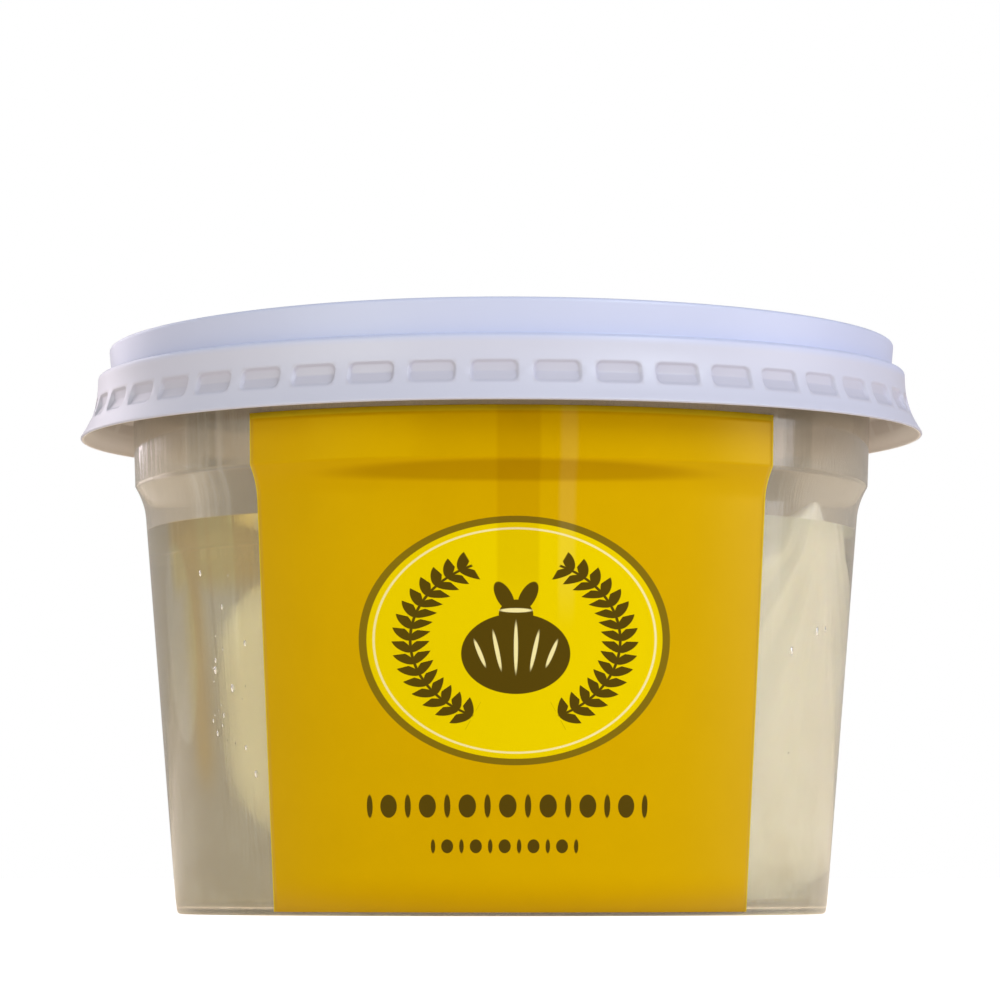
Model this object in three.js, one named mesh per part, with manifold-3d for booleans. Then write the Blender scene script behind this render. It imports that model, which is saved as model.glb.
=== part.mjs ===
// A burrata in its shut pack: a round clear tub of whey with one soft cheese in it, a push-on
// lid and two labels on the wall. Millimetres, +Z up, the front label faces -Y, and the origin
// is the middle of the foot on the surface that the pack stands on.
import * as THREE from 'three';
import { ParametricGeometry } from 'three/addons/geometries/ParametricGeometry.js';
import { mergeVertices } from 'three/addons/utils/BufferGeometryUtils.js';
import Module from 'manifold-3d';

// Tub: a tapered wall that steps out over a rounded shoulder to an upright band and a rim.
const TUB_BASE_R = 45.0;
const TUB_TAPER = 0.0826;
const TUB_WALL = 0.7;
const SHOULDER_LOW_Z = 54.8;
const SHOULDER_HIGH_Z = 59.2;
const SHOULDER_STEP = 1.15;
const BAND_TOP_Z = 71.2;
const BAND_TAPER = 0.035;
const RIM_R = 54.8;
const RIM_TOP_Z = 73.6;
const RIM_THICK = 1.2;
const FOOT_WIDTH = 2.6;
const FOOT_HEIGHT = 0.5;
const FLOOR_THICK = 0.6;

// Lid: a recessed middle, a raised ring over the rim, and a skirt that flares to the lip.
const LID_WALL = 0.9;
const LIP_R = 58.75;
const LIP_Z = 66.1;
const SKIRT_R = 56.3;
const SKIRT_TOP_Z = 74.1;
const SKIRT_FLARE = 2.3;
const RING_FOOT_R = 54.4;
const RING_TOP_R = 54.75;
const RING_INNER_R = 48.7;
const LID_TOP_Z = 79.2;
const LID_PANEL_Z = 75.0;
const LID_PANEL_R = 47.8;
const SNAP_BEAD_R = 54.3;
const SNAP_BEAD_Z = 71.1;

// Dimples pressed into the skirt, each a slot with round ends, on a band that is straight
// between its two heights.
const DIMPLES = 44;
const DIMPLE_WIDTH = 6.1;
const DIMPLE_HEIGHT = 2.9;
const DIMPLE_DEPTH = 0.45;
const DIMPLE_TURN = -0.9;
const BAND_OF_DIMPLES_LOW_Z = 68.1;
const BAND_OF_DIMPLES_HIGH_Z = 71.6;

// Labels: one piece of film each, from just over the foot to just under the lid's lip.
const LABEL_THICK = 0.2;
const LABEL_GAP = 0.15;
const LABEL_LOW_Z = 0.5;
const LABEL_TOP_Z = 66.0;
const FRONT_LABEL_FROM = -40.7;
const FRONT_LABEL_TO = 45.0;
const BACK_LABEL_FROM = 120.5;
const BACK_LABEL_TO = 239.5;

// Cheese: a soft ball, rounder below and fuller above, with its gathered neck drawn up to a
// point beside the wall. Pleats run out from the neck.
const CHEESE_CENTRE = new THREE.Vector3(8.05, 0, 25.6);
const CHEESE_HALF = new THREE.Vector3(36.8, 32.4, 25.6);
const CHEESE_ROUND_BELOW = 2.1;
const CHEESE_ROUND_ABOVE = 4.0;
const CHEESE_LEAN = 0.0965;
const CHEESE_FLOOR_SOFT = 0.5;
const NECK_TIP = new THREE.Vector3(42.6, -19.6, 55.0);
const NECK_ROOT_RISE = 8;
const NECK_ROOT_TURN = -22;
const NECK_SPREAD = 44;
const NECK_HOLLOW = 1.6;
const NECK_BLUNT = 3.4;
const PLEATS = 8;
const PLEAT_DEPTH = 1.4;
const PLEAT_PEAK = 20;
const PLEAT_REACH = 62;
const PLEAT_UNEVEN = 0.7;

// Whey, filled to just over the top of the cheese.
const WHEY_TOP_Z = 53.0;

// Gap between pieces that touch, and how finely round pieces are divided.
const GAP = 0.3;
const TUB_SIDES = 60;
const LID_SIDES = DIMPLES;
const WHEY_SIDES = 60;
const DIMPLE_END_SIDES = 2;
const CHEESE_COLUMNS = 40;
const CHEESE_ROWS = 26;

const wasm = await Module();
wasm.setup();

const radians = THREE.MathUtils.degToRad;
const lerp = THREE.MathUtils.lerp;

/** Shares the vertices of neighbouring faces and drops the faces that close up to a line. */
function sharedMesh(geometry) {
  const bare = geometry.clone();
  bare.deleteAttribute('normal');
  bare.deleteAttribute('uv');
  const merged = mergeVertices(bare, 1e-4);
  const index = merged.index.array;
  const kept = [];
  for (let i = 0; i < index.length; i += 3) {
    const [a, b, c] = [index[i], index[i + 1], index[i + 2]];
    if (a !== b && b !== c && c !== a) kept.push(a, b, c);
  }
  merged.setIndex(kept);
  return merged;
}

/** A solid that can be joined or cut, from a closed geometry. */
function solidOf(geometry) {
  const mesh = sharedMesh(geometry);
  return new wasm.Manifold(new wasm.Mesh({
    numProp: 3,
    vertProperties: new Float32Array(mesh.attributes.position.array),
    triVerts: new Uint32Array(mesh.index.array),
  }));
}

/** The geometry of a solid that was joined or cut. */
function geometryOf(solid) {
  const { vertProperties, triVerts } = solid.getMesh();
  const geometry = new THREE.BufferGeometry();
  geometry.setAttribute('position', new THREE.BufferAttribute(vertProperties, 3));
  geometry.setIndex(new THREE.BufferAttribute(triVerts, 1));
  return geometry;
}

/** A profile of [radius, height] points turned about +Z. Its points run up the outside. */
function turned(profile, sides, startAngle = 0) {
  const points = profile.map(([r, z]) => new THREE.Vector2(r, z));
  const lathed = new THREE.LatheGeometry(points, sides, startAngle);
  return sharedMesh(lathed.rotateX(Math.PI / 2));
}

/** Outer radius of the tub's wall at a height. The shoulder's step grows with the square of the
 * way up it, so its foot is soft and its top is crisp. */
function tubRadius(z) {
  const rise = THREE.MathUtils.inverseLerp(SHOULDER_LOW_Z, SHOULDER_HIGH_Z, z);
  const straight = Math.min(z, SHOULDER_HIGH_Z) * TUB_TAPER;
  const band = Math.max(z - SHOULDER_HIGH_Z, 0) * BAND_TAPER;
  return TUB_BASE_R + straight + band + SHOULDER_STEP * THREE.MathUtils.clamp(rise, 0, 1) ** 2;
}

/** Points up the tub's wall between two heights, set off from its outer face. */
function wallPoints(low, high, offset) {
  const shoulder = [0, 0.35, 0.65, 1].map((t) => lerp(SHOULDER_LOW_Z, SHOULDER_HIGH_Z, t));
  const heights = [low, ...shoulder.filter((z) => z > low && z < high), high];
  return heights.map((z) => [tubRadius(z) + offset, z]);
}

function tub() {
  const floorTop = FOOT_HEIGHT + FLOOR_THICK;
  const corner = 0.5;
  const footInner = TUB_BASE_R - FOOT_WIDTH;
  const bandR = tubRadius(BAND_TOP_Z);
  return turned([
    [0, FOOT_HEIGHT],
    [footInner - corner, FOOT_HEIGHT],
    [footInner, 0],
    [TUB_BASE_R - corner, 0],
    ...wallPoints(corner, BAND_TOP_Z, 0),
    [bandR + RIM_THICK, RIM_TOP_Z - RIM_THICK],
    [RIM_R - corner, RIM_TOP_Z - RIM_THICK],
    [RIM_R, RIM_TOP_Z - RIM_THICK / 2],
    [RIM_R - corner, RIM_TOP_Z],
    [bandR - TUB_WALL, RIM_TOP_Z],
    ...wallPoints(floorTop + corner, BAND_TOP_Z, -TUB_WALL).reverse(),
    [tubRadius(floorTop) - TUB_WALL - corner, floorTop],
    [0, floorTop],
  ], TUB_SIDES);
}

/** Outer radius of the lid's skirt at a height: a curve that flares out to the lip. */
function skirtRadius(z) {
  const down = (SKIRT_TOP_Z - z) / (SKIRT_TOP_Z - LIP_Z);
  return SKIRT_R + (LIP_R - SKIRT_R) * down ** SKIRT_FLARE;
}

/** A dimple's cutter: a slot with round ends, square to the band that it is pressed into. */
function dimpleCutter(turn) {
  const round = DIMPLE_HEIGHT / 2;
  const half = DIMPLE_WIDTH / 2 - round;
  const slot = new THREE.Shape();
  slot.absarc(half, 0, round, -Math.PI / 2, Math.PI / 2, false);
  slot.absarc(-half, 0, round, Math.PI / 2, Math.PI * 1.5, false);
  const cutter = new THREE.ExtrudeGeometry(slot, {
    depth: LID_WALL,
    bevelEnabled: false,
    curveSegments: DIMPLE_END_SIDES,
  });
  const lowR = skirtRadius(BAND_OF_DIMPLES_LOW_Z);
  const highR = skirtRadius(BAND_OF_DIMPLES_HIGH_Z);
  const tilt = Math.atan2(lowR - highR, BAND_OF_DIMPLES_HIGH_Z - BAND_OF_DIMPLES_LOW_Z);
  const faceR = ((lowR + highR) / 2) * Math.cos(Math.PI / LID_SIDES);
  cutter.translate(0, 0, -DIMPLE_DEPTH);
  cutter.rotateX(Math.PI / 2 - tilt);
  cutter.translate(0, -faceR, (BAND_OF_DIMPLES_LOW_Z + BAND_OF_DIMPLES_HIGH_Z) / 2);
  cutter.rotateZ(turn);
  return solidOf(cutter);
}

/** The lid's profile, from the middle of its underside round the lip to the middle of its top. */
function lidProfile() {
  const corner = 0.4;
  const ceiling = LID_TOP_Z - LID_WALL;
  const overRim = SKIRT_TOP_Z - 0.1;
  const outside = [
    LIP_Z + 0.3,
    LIP_Z + 1.1,
    BAND_OF_DIMPLES_LOW_Z,
    BAND_OF_DIMPLES_HIGH_Z,
    SKIRT_TOP_Z,
  ].map((z) => [skirtRadius(z), z]);
  const inside = [
    SNAP_BEAD_Z - 1,
    BAND_OF_DIMPLES_LOW_Z,
    LIP_Z + 0.5,
  ].map((z) => [skirtRadius(z) - LID_WALL, z]);
  return [
    [0, LID_PANEL_Z - LID_WALL],
    [LID_PANEL_R + LID_WALL, LID_PANEL_Z - LID_WALL],
    [RING_INNER_R + LID_WALL, ceiling],
    [RING_TOP_R - LID_WALL, ceiling],
    [RING_FOOT_R - LID_WALL, overRim],
    [SKIRT_R - LID_WALL, overRim],
    [SKIRT_R - LID_WALL, SNAP_BEAD_Z + 0.8],
    [SNAP_BEAD_R, SNAP_BEAD_Z],
    ...inside,
    [LIP_R - LID_WALL / 2, LIP_Z - 0.2],
    ...outside,
    [SKIRT_R - 0.5, LID_PANEL_Z - 0.3],
    [RING_FOOT_R, LID_PANEL_Z - 0.2],
    [RING_TOP_R, LID_TOP_Z - corner],
    [RING_TOP_R - corner, LID_TOP_Z],
    [RING_INNER_R, LID_TOP_Z],
    [LID_PANEL_R, LID_PANEL_Z],
    [0, LID_PANEL_Z],
  ];
}

/** The lid has one flat side for each dimple, so that each lies in the middle of a side. */
function lid() {
  const step = (2 * Math.PI) / DIMPLES;
  const first = radians(DIMPLE_TURN);
  let solid = solidOf(turned(lidProfile(), LID_SIDES, first - step / 2));
  for (let i = 0; i < DIMPLES; i++) {
    solid = solid.subtract(dimpleCutter(first + i * step));
  }
  return geometryOf(solid);
}

/** An upright wedge about +Z between two angles, measured from -Y towards +X. */
function wedge(from, to) {
  const reach = 2 * TUB_BASE_R;
  const outline = new THREE.Shape();
  outline.moveTo(0, 0);
  const steps = 6;
  for (let i = 0; i <= steps; i++) {
    const angle = radians(lerp(from, to, i / steps) - 90);
    outline.lineTo(reach * Math.cos(angle), reach * Math.sin(angle));
  }
  return new THREE.ExtrudeGeometry(outline, { depth: LID_TOP_Z, bevelEnabled: false });
}

/** A label: a thin sleeve round the wall, kept between two angles. */
function label(from, to) {
  const inside = wallPoints(LABEL_LOW_Z, LABEL_TOP_Z, LABEL_GAP).reverse();
  const outside = wallPoints(LABEL_LOW_Z, LABEL_TOP_Z, LABEL_GAP + LABEL_THICK);
  const sleeve = turned([...outside, ...inside, outside[0]], TUB_SIDES);
  return geometryOf(solidOf(sleeve).intersect(solidOf(wedge(from, to))));
}

/** Distance from the cheese's centre to its skin along a direction, without the neck. */
function ballReach(way) {
  const above = 0.5 + 0.5 * Math.tanh(3 * way.z);
  const power = lerp(CHEESE_ROUND_BELOW, CHEESE_ROUND_ABOVE, above);
  const across = Math.hypot(way.x / CHEESE_HALF.x, way.y / CHEESE_HALF.y);
  const up = Math.abs(way.z) / CHEESE_HALF.z;
  return (across ** power + up ** power) ** (-1 / power);
}

/** How deep the pleats lie at an angle in degrees from the neck's root, from 0 to 1. */
function pleatShare(angle) {
  const grow = THREE.MathUtils.smoothstep(angle, 3, PLEAT_PEAK);
  return grow * (1 - THREE.MathUtils.smoothstep(angle, PLEAT_PEAK, PLEAT_REACH));
}

/** Leans a point of the ball over towards -X with height, and presses it flat on the floor. */
function settled(point, floor) {
  const x = point.x - CHEESE_LEAN * (point.z - CHEESE_CENTRE.z);
  const above = (point.z - floor) / CHEESE_FLOOR_SOFT;
  const z = floor + CHEESE_FLOOR_SOFT * (above > 30 ? above : Math.log1p(Math.exp(above)));
  return new THREE.Vector3(x, point.y, z);
}

function cheese() {
  const floor = FOOT_HEIGHT + FLOOR_THICK + GAP;
  const root = new THREE.Vector3(1, 0, 0);
  root.applyAxisAngle(new THREE.Vector3(0, 1, 0), -radians(NECK_ROOT_RISE));
  root.applyAxisAngle(new THREE.Vector3(0, 0, 1), radians(NECK_ROOT_TURN));
  const sideways = new THREE.Vector3(0, 0, 1).cross(root).normalize();
  const upwards = root.clone().cross(sideways);
  const rootPoint = root.clone().multiplyScalar(ballReach(root)).add(CHEESE_CENTRE);
  const draw = NECK_TIP.clone().sub(settled(rootPoint, floor));
  const bluntness = 1 - NECK_BLUNT / NECK_SPREAD;

  const skin = (u, v, target) => {
    const turn = -2 * Math.PI * u;
    const angle = Math.PI * v ** 1.5;
    const way = root.clone().multiplyScalar(Math.cos(angle));
    way.addScaledVector(sideways, Math.sin(angle) * Math.cos(turn));
    way.addScaledVector(upwards, Math.sin(angle) * Math.sin(turn));
    const degrees = THREE.MathUtils.radToDeg(angle);
    const wave = 0.5 - 0.5 * Math.cos(PLEATS * turn + PLEAT_UNEVEN * Math.sin(2 * turn));
    const pleat = PLEAT_DEPTH * pleatShare(degrees) * wave;
    const point = way.multiplyScalar(ballReach(way) - pleat).add(CHEESE_CENTRE);
    const fromTip = Math.hypot(degrees, NECK_BLUNT) / NECK_SPREAD;
    const pull = (Math.max(1 - fromTip, 0) / bluntness) ** NECK_HOLLOW;
    target.copy(settled(point, floor)).addScaledVector(draw, pull);
  };
  return sharedMesh(new ParametricGeometry(skin, CHEESE_COLUMNS, CHEESE_ROWS));
}

/** The same closed surface moved outwards by a distance. */
function grown(geometry, distance) {
  const wider = geometry.clone();
  wider.computeVertexNormals();
  const { position, normal } = wider.attributes;
  for (let i = 0; i < position.count; i++) {
    position.setXYZ(
      i,
      position.getX(i) + distance * normal.getX(i),
      position.getY(i) + distance * normal.getY(i),
      position.getZ(i) + distance * normal.getZ(i),
    );
  }
  return wider;
}

function whey(ball) {
  const floor = FOOT_HEIGHT + FLOOR_THICK + GAP;
  const corner = 0.5;
  const inset = -TUB_WALL - GAP;
  const fill = turned([
    [0, floor],
    [tubRadius(floor) + inset - corner, floor],
    [tubRadius(floor + corner) + inset, floor + corner],
    [tubRadius(WHEY_TOP_Z) + inset, WHEY_TOP_Z],
    [0, WHEY_TOP_Z],
  ], WHEY_SIDES);
  return geometryOf(solidOf(fill).subtract(solidOf(grown(ball, GAP))));
}

const clearPlastic = new THREE.MeshStandardMaterial({
  color: 0xb8ab9c, roughness: 0.25, transparent: true, opacity: 0.35,
});
const whitePlastic = new THREE.MeshStandardMaterial({ color: 0xced0e2, roughness: 0.4 });
const yellowFilm = new THREE.MeshStandardMaterial({ color: 0xc89c04, roughness: 0.35 });
const paleFilm = new THREE.MeshStandardMaterial({ color: 0xc8b48c, roughness: 0.35 });
const freshCheese = new THREE.MeshStandardMaterial({ color: 0xefe8d2, roughness: 0.35 });
const cloudyWhey = new THREE.MeshStandardMaterial({
  color: 0xc8b07c, roughness: 0.1, transparent: true, opacity: 0.5,
});

const pack = new THREE.Group();
const ball = cheese();
for (const [name, geometry, material] of [
  ['tub', tub(), clearPlastic],
  ['lid', lid(), whitePlastic],
  ['label_front', label(FRONT_LABEL_FROM, FRONT_LABEL_TO), yellowFilm],
  ['label_back', label(BACK_LABEL_FROM, BACK_LABEL_TO), paleFilm],
  ['burrata', ball, freshCheese],
  ['whey', whey(ball), cloudyWhey],
]) {
  const piece = new THREE.Mesh(geometry, material);
  piece.name = name;
  pack.add(piece);
}

export default pack;
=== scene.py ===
"""A burrata in its shut pack, dressed for a studio picture: a clear tub of whey with one soft
cheese in it, a white lid and two printed labels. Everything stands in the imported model's frame."""

import math

import bmesh
import bpy
import numpy as np
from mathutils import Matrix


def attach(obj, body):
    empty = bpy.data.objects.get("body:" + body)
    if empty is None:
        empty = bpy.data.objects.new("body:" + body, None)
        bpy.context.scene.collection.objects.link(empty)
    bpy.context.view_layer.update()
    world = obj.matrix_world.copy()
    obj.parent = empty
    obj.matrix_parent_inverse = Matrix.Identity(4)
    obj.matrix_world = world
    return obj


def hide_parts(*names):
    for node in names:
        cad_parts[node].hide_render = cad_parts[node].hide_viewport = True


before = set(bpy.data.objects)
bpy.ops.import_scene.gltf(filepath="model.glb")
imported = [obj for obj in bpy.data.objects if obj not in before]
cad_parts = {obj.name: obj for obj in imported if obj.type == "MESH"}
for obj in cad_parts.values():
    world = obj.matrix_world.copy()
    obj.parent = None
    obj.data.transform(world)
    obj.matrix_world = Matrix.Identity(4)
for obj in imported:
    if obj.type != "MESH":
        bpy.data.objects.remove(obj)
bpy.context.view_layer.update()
scene = bpy.context.scene

# ---------------------------------------------------------------------------- Camera
# A long lens, standing almost on the table 670 mm in front of the pack's axis and looking up at
# the lid a little. Light is followed through more faces of clear parts than off solid ones.
MM = 0.001
CAMERA_AWAY = 670 * MM
CAMERA_HEIGHT = 4.9 * MM
CAMERA_SIDE = -0.2 * MM
CAMERA_RISE = math.radians(4.5)
CAMERA_LENS = 173.1
CAMERA_SENSOR = 36
CLEAR_BOUNCES = 8
SOLID_BOUNCES = 3

camera = bpy.data.objects.new("camera", bpy.data.cameras.new("camera"))
camera.data.lens = CAMERA_LENS
camera.data.sensor_width = CAMERA_SENSOR
camera.data.clip_start = 10 * MM
camera.location = (CAMERA_SIDE, -CAMERA_AWAY, CAMERA_HEIGHT)
camera.rotation_euler = (math.pi / 2 + CAMERA_RISE, 0, 0)
scene.collection.objects.link(camera)
scene.camera = camera
scene.view_settings.view_transform = "Standard"
scene.cycles.max_bounces = CLEAR_BOUNCES
scene.cycles.transmission_bounces = CLEAR_BOUNCES
scene.cycles.diffuse_bounces = SOLID_BOUNCES
scene.cycles.glossy_bounces = SOLID_BOUNCES

# ---------------------------------------------------------------------------- Tub
# Thin clear plastic, moulded in one piece, with a faint frost and drag lines from the mould. Its
# tapered wall steps out over a rounded shoulder to an upright band and a rim that holds the lid.
TUB_BASE_R = 45.0
TUB_TAPER = 0.0826
TUB_WALL = 0.7
SHOULDER_LOW_Z = 54.8
SHOULDER_HIGH_Z = 59.2
SHOULDER_STEP = 1.15
BAND_TOP_Z = 71.2
BAND_TAPER = 0.035
RIM_R = 54.8
RIM_TOP_Z = 73.6
RIM_THICK = 1.2
FOOT_WIDTH = 2.6
FOOT_HEIGHT = 0.5
FLOOR_TOP_Z = 1.0
TUB_SIDES = 288
TUB_TINT = (0.90, 0.85, 0.77, 1)
TUB_TINT_DULL = (0.86, 0.80, 0.70, 1)
TUB_SHADE = (1.0, 0.99, 0.97, 1)
TUB_PALE = (1.0, 0.97, 0.92, 1)
TUB_TAN = (1.12, 0.97, 0.62, 1)
TUB_STRIPE = (0.86, 0.87, 0.86, 1)
# Painted highlight: a long pale oval on the left of the wall, as centre round, centre height and half sizes
# in mm.
PAINTED_HIGHLIGHT_PATCH = (-51.0, 36.6, 5.0, 14.3)
PALE_FOOT = (3.0, 26.0)
STREAKS_ROUND = (-44.5, -36.5)
STREAKS_UP = (30.0, 40.0)
TAN_BESIDE_BALL = (-48.5, -44.0)
TAN_BESIDE_BALL_UP = (14.0, 22.0)
TAN_OVER_BALL = (-52.0, -32.0)
TAN_OVER_BALL_UP = (41.0, 46.0)
TAN_TOP = (52.9, 53.1)
STRIPES_ROUND = [(-43.5, -37.7), (37.3, 42.7)]
STRIPES_UP = (SHOULDER_HIGH_Z, 68.0)


def smooth_step(x, low, high):
    """0 below low and 1 above high, and 3t^2 - 2t^3 between them."""
    t = np.clip((x - low) / (high - low), 0, 1)
    return t * t * (3 - 2 * t)


def tub_radius(z):
    """Outer radius of the wall at a height, in mm: an even taper, plus a step that grows with the
    square of the way up the shoulder, plus a much slighter taper over the band above it."""
    straight = np.minimum(z, SHOULDER_HIGH_Z) * TUB_TAPER
    band = np.maximum(z - SHOULDER_HIGH_Z, 0) * BAND_TAPER
    way_up = np.clip((z - SHOULDER_LOW_Z) / (SHOULDER_HIGH_Z - SHOULDER_LOW_Z), 0, 1)
    return TUB_BASE_R + straight + band + SHOULDER_STEP * way_up**2


def wall_points(low, high, offset):
    """Points up the wall between two heights, set off from its outer face: far apart where it is
    straight and close together over the shoulder."""
    bend = np.linspace(SHOULDER_LOW_Z - 0.5, SHOULDER_HIGH_Z + 0.5, 25)
    heights = np.concatenate([np.linspace(low, bend[0], 12)[:-1], bend, np.linspace(bend[-1], high, 6)[1:]])
    heights = heights[(heights >= low) & (heights <= high)]
    return np.column_stack([tub_radius(heights) + offset, heights])


def rounded(corners, steps=5):
    """A profile from corners given as radius, height and fillet. Each fillet is a curve
    (1-t)^2 a + 2t(1-t) c + t^2 b between points a and b on the two sides that meet in corner c."""
    corners = np.array(corners, float)
    points = [corners[0, :2]]
    t = np.linspace(0, 1, steps)[:, None]
    for before, corner, after in zip(corners[:-2], corners[1:-1], corners[2:]):
        c, fillet = corner[:2], corner[2]
        if fillet == 0:
            points.append(c)
            continue
        back, ahead = before[:2] - c, after[:2] - c
        a = c + back * min(fillet / np.hypot(*back), 0.5)
        b = c + ahead * min(fillet / np.hypot(*ahead), 0.5)
        points.extend((1 - t) ** 2 * a + 2 * t * (1 - t) * c + t**2 * b)
    points.append(corners[-1, :2])
    return np.array(points)


def around(radius, angle, height):
    """Points at a radius, an angle and a height: x = r sin a and y = -r cos a."""
    parts = np.broadcast_arrays(radius * np.sin(angle), -radius * np.cos(angle), height)
    return np.stack(parts, axis=-1)


def mesh_of_grid(name, points, uv):
    """A mesh from a grid of points in mm, rows by columns by 3, with a UV for each corner from a
    grid that is one column wider. The last column joins the first one, and a row whose points all
    meet becomes one vertex with triangles round it. Its normals are columns cross rows."""
    rows, columns = points.shape[:2]
    index = np.arange(rows * columns).reshape(rows, columns)
    met = np.ptp(points, axis=1).max(axis=1) < 1e-7
    index[met] = index[met, :1]
    wide = np.column_stack([index, index[:, :1]])
    quads = np.stack([wide[:-1, :-1], wide[:-1, 1:], wide[1:, 1:], wide[1:, :-1]], axis=-1).reshape(-1, 4)
    corners = np.stack([uv[:-1, :-1], uv[:-1, 1:], uv[1:, 1:], uv[1:, :-1]], axis=-2).reshape(-1, 4, 2)
    kept = quads != np.roll(quads, 1, axis=1)
    sizes = kept.sum(axis=1)
    used, loops = np.unique(quads[kept], return_inverse=True)
    mesh = bpy.data.meshes.new(name)
    mesh.vertices.add(len(used))
    mesh.vertices.foreach_set("co", (points.reshape(-1, 3)[used] * MM).ravel())
    mesh.loops.add(len(loops))
    mesh.loops.foreach_set("vertex_index", loops.astype(np.int32))
    mesh.polygons.add(len(sizes))
    mesh.polygons.foreach_set("loop_start", np.concatenate([[0], np.cumsum(sizes)[:-1]]).astype(np.int32))
    mesh.uv_layers.new(name="UVMap").data.foreach_set("uv", corners[kept].ravel())
    mesh.update(calc_edges=True)
    mesh.validate()
    mesh.shade_smooth()
    return mesh


def turned(name, profile, sides):
    """A profile of radius and height in mm carried round +Z, from -180 to 180 degrees. U is the
    way round at the tub's base radius and V the way along the profile, both in mm."""
    angles = np.linspace(-np.pi, np.pi, sides + 1)
    points = around(profile[:, :1], angles, profile[:, 1:])
    along = np.concatenate([[0], np.cumsum(np.hypot(*np.diff(profile, axis=0).T))])
    uv = np.stack(np.broadcast_arrays(angles * TUB_BASE_R, along[:, None]), axis=-1)
    return mesh_of_grid(name, points[:, :-1], uv)


def place(name, mesh, slot, replaced, *materials):
    """Puts a mesh in the scene as a piece of the pack, which may stand for one of its solids."""
    made = bpy.data.objects.new(name, mesh)
    scene.collection.objects.link(made)
    for material in materials:
        mesh.materials.append(material)
    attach(made, "root")
    if replaced:
        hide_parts(replaced)
    return made


def node(tree, kind, *feeds, **named):
    """Adds a node. Names in small letters are its settings, others its sockets, with _ for a
    space. Feeds go to its sockets in order. A socket is linked and a value is set."""
    made = tree.nodes.new("ShaderNode" + kind)
    for name, value in named.items():
        if name.islower():
            setattr(made, name, value)
    sockets = [s for s in made.inputs if s.enabled]
    wanted = list(zip(sockets, feeds))
    wanted += [(made.inputs[name.replace("_", " ")], v) for name, v in named.items() if not name.islower()]
    for socket, value in wanted:
        if isinstance(value, bpy.types.NodeSocket):
            tree.links.new(value, socket)
        elif value is not None:
            socket.default_value = value
    return made


def out(made, name=None):
    """A node's output by name, or its first one in use."""
    return made.outputs[name] if name else next(s for s in made.outputs if s.enabled)


def math_of(tree, operation, *feeds):
    """The result of a Math node."""
    return out(node(tree, "Math", *feeds, operation=operation))


def product_of(tree, value, *others):
    """The product of several values."""
    for other in others:
        value = math_of(tree, "MULTIPLY", value, other)
    return value


def blend_of(tree, factor, first, second, way="MIX"):
    """Two colours mixed by a factor, the second over the first."""
    return out(node(tree, "Mix", factor, first, second, data_type="RGBA", blend_type=way))


def ramp_of(tree, value, low, high, first=0.0, second=1.0):
    """A value stretched so that low gives first and high gives second, smooth between them."""
    made = node(tree, "MapRange", value, low, high, first, second, interpolation_type="SMOOTHSTEP")
    return out(made)


def new_group(name, inputs, outputs):
    """An empty shader group with named number sockets, or colour ones where a value has parts.
    Returns the group, its inputs by name and a function that sets an output."""
    group = bpy.data.node_groups.new(name, "ShaderNodeTree")
    for title, value in inputs.items():
        kind = "NodeSocketFloat" if np.isscalar(value) else "NodeSocketVector"
        group.interface.new_socket(title, in_out="INPUT", socket_type=kind).default_value = value
    for title in outputs:
        group.interface.new_socket(title, in_out="OUTPUT", socket_type="NodeSocketFloat")
    start, end = group.nodes.new("NodeGroupInput"), group.nodes.new("NodeGroupOutput")

    def put(title, socket):
        group.links.new(socket, end.inputs[title])

    return group, start.outputs, put


def use(tree, group, **named):
    """Places a shader group in a tree and feeds its inputs."""
    made = tree.nodes.new("ShaderNodeGroup")
    made.node_tree = group
    for name, value in named.items():
        socket = made.inputs[name.replace("_", " ")]
        if isinstance(value, bpy.types.NodeSocket):
            tree.links.new(value, socket)
        else:
            socket.default_value = value
    return made


def drag_lines_group():
    """Lines drawn along V: noise that is fine across U and long along V, cut to its peaks."""
    group, given, put = new_group(
        "drag lines", {"Place": (0, 0, 0), "Lines per mm": 1.5, "Length mm": 60.0, "Share": 0.35}, ["Lines"]
    )
    parts = node(group, "SeparateXYZ", given["Place"])
    across = product_of(group, parts.outputs["X"], given["Lines per mm"])
    down = math_of(group, "DIVIDE", parts.outputs["Y"], given["Length mm"])
    spot = node(group, "CombineXYZ", across, down, 0.0)
    noise = node(group, "TexNoise", Vector=out(spot), Scale=1.0, Detail=3.0, Roughness=0.6)
    top = math_of(group, "SUBTRACT", 1.0, given["Share"])
    put("Lines", ramp_of(group, out(noise), product_of(group, top, 0.8), top))
    return group


def mottle_group():
    """Soft cloudy patches in space: two sizes of noise, worn together."""
    group, given, put = new_group("mottle", {"Size mm": 10.0, "Contrast": 1.0}, ["Patches"])
    place_of = node(group, "TexCoord").outputs["Object"]
    scale = math_of(group, "DIVIDE", 1 / MM, given["Size mm"])
    noise = node(group, "TexNoise", Vector=place_of, Scale=scale, Detail=3.0, Roughness=0.55)
    spread = product_of(group, math_of(group, "SUBTRACT", out(noise), 0.5), given["Contrast"])
    put("Patches", math_of(group, "ADD", spread, 0.5))
    return group


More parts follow.
